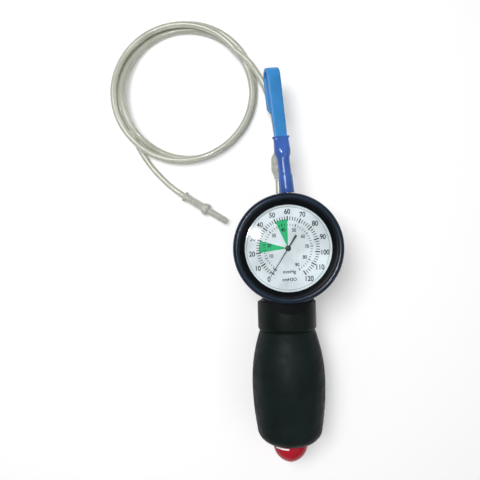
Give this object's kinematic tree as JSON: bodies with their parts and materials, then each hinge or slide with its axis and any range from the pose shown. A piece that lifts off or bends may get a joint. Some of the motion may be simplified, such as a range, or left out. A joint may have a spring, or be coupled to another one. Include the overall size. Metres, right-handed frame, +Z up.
{
  "type": "hand vacuum pump",
  "caption": "Hand pump with a round pressure gauge, squeeze bulb, red vacuum button, hanging hook and a coiled clear tube with luer fittings, lying on its back.",
  "frame": {"origin": "centre of the footprint of the pump itself (without its free tube), on the surface it lies on", "axes": "+Z up, the way the dial faces; +Y along the grip's axis towards the hook; +X to the right when the dial is read upright"},
  "size_m": [0.1419, 0.2859, 0.0482],
  "materials": {
    "bulb_rubber": "smooth soft rubber with a faint sheen",
    "collar_plastic": "satin black moulding",
    "black_plastic": "satin black moulding",
    "white_plastic": "satin white moulding",
    "seal_rubber": "matte black rubber",
    "steel": "turned steel",
    "red_plastic": "glossy red moulding",
    "rim_plastic": "glossy black rim",
    "lens_clear": "clear lens",
    "dial_face": "white printed dial",
    "pointer_black": "matte black paint",
    "brass": "plain machined brass",
    "clear_tube": "clear soft tubing with a slight warm tint",
    "luer_plastic": "milky clear moulding",
    "sleeve_blue": "glossy blue shrunk sleeve",
    "hook_blue": "glossy blue coating"
  },
  "bodies": {
    "pump": {"squeeze_bulb": "bulb_rubber", "bulb_collar": "collar_plastic", "neck_block": "black_plastic", "outlet_seat": "white_plastic", "seat_oring": "seal_rubber", "outlet_spring": "steel", "inlet_insert": "black_plastic", "inlet_flap": "seal_rubber", "button_seal": "seal_rubber", "button_spring": "steel", "gauge_case": "black_plastic", "bezel": "rim_plastic", "lens": "lens_clear", "lens_gasket": "seal_rubber", "dial_ring": "white_plastic", "dial": "dial_face", "hairspring": "brass", "movement_base": "brass", "movement_bridge": "brass", "movement_pillars": "brass", "bridge_screws": "steel", "base_posts": "steel", "post_screws": "steel", "pressure_capsule": "brass", "gauge_socket": "brass", "socket_oring": "seal_rubber", "case_screws": "steel", "port_nipple": "steel", "port_tube": "clear_tube", "luer_socket": "luer_plastic", "luer_lock": "luer_plastic", "hanger_stem": "steel", "stem_nut": "steel", "tube_lead": "clear_tube", "tube_coil": "clear_tube", "tube_tail": "clear_tube", "end_connector": "luer_plastic"},
    "button": {"vacuum_button": "red_plastic", "push_rod": "steel", "rod_clip": "steel"},
    "ball": {"outlet_ball": "steel"},
    "sector": {"sector_gear": "brass"},
    "pointer_set": {"pointer": "pointer_black", "pinion_arbor": "brass"},
    "rocker": {"rocker_shaft": "steel"},
    "hook": {"hook_sleeve": "sleeve_blue", "hanger_hook": "hook_blue"}
  },
  "joints": [
    {"name": "vacuum_button_press", "type": "slide", "parent": "pump", "child": "button", "axis": [0, 1, 0], "range_m": [0, 0.003], "stiffness_N_per_m": 1500, "springref_m": -0.002, "deforming": ["button_spring"]},
    {"name": "outlet_ball_lift", "type": "slide", "parent": "pump", "child": "ball", "axis": [0, 1, 0], "range_m": [0, 0.0012], "stiffness_N_per_m": 80, "springref_m": -0.001, "deforming": ["outlet_spring"]},
    {"name": "sector_swing", "type": "hinge", "parent": "pump", "child": "sector", "pos_m": [-0.00825, -0.00354, 0.036], "axis": [0, 0, 1], "range_deg": [0, 29.4]},
    {"name": "pointer_spin", "type": "hinge", "parent": "pump", "child": "pointer_set", "pos_m": [0, 0.01075, 0.04], "axis": [0, 0, -1], "range_deg": [0, 294], "deforming": ["hairspring"]},
    {"name": "rocker_tilt", "type": "hinge", "parent": "pump", "child": "rocker", "pos_m": [-0.00679, 0.01075, 0.0302], "axis": [0, -1, 0], "range_deg": [0, 12.5], "deforming": ["pressure_capsule"]},
    {"name": "hook_swivel", "type": "hinge", "parent": "pump", "child": "hook", "pos_m": [0.0015, 0.04375, 0.031], "axis": [-0.0872, 0.9962, 0], "range_deg": [-90, 90]}
  ],
  "couplings": [
    {"joint": "pointer_spin", "follows": "sector_swing", "ratio": 10},
    {"joint": "rocker_tilt", "follows": "sector_swing", "ratio": 0.425},
    {"joint": "outlet_ball_lift", "follows": "vacuum_button_press", "ratio": 0.4}
  ]
}
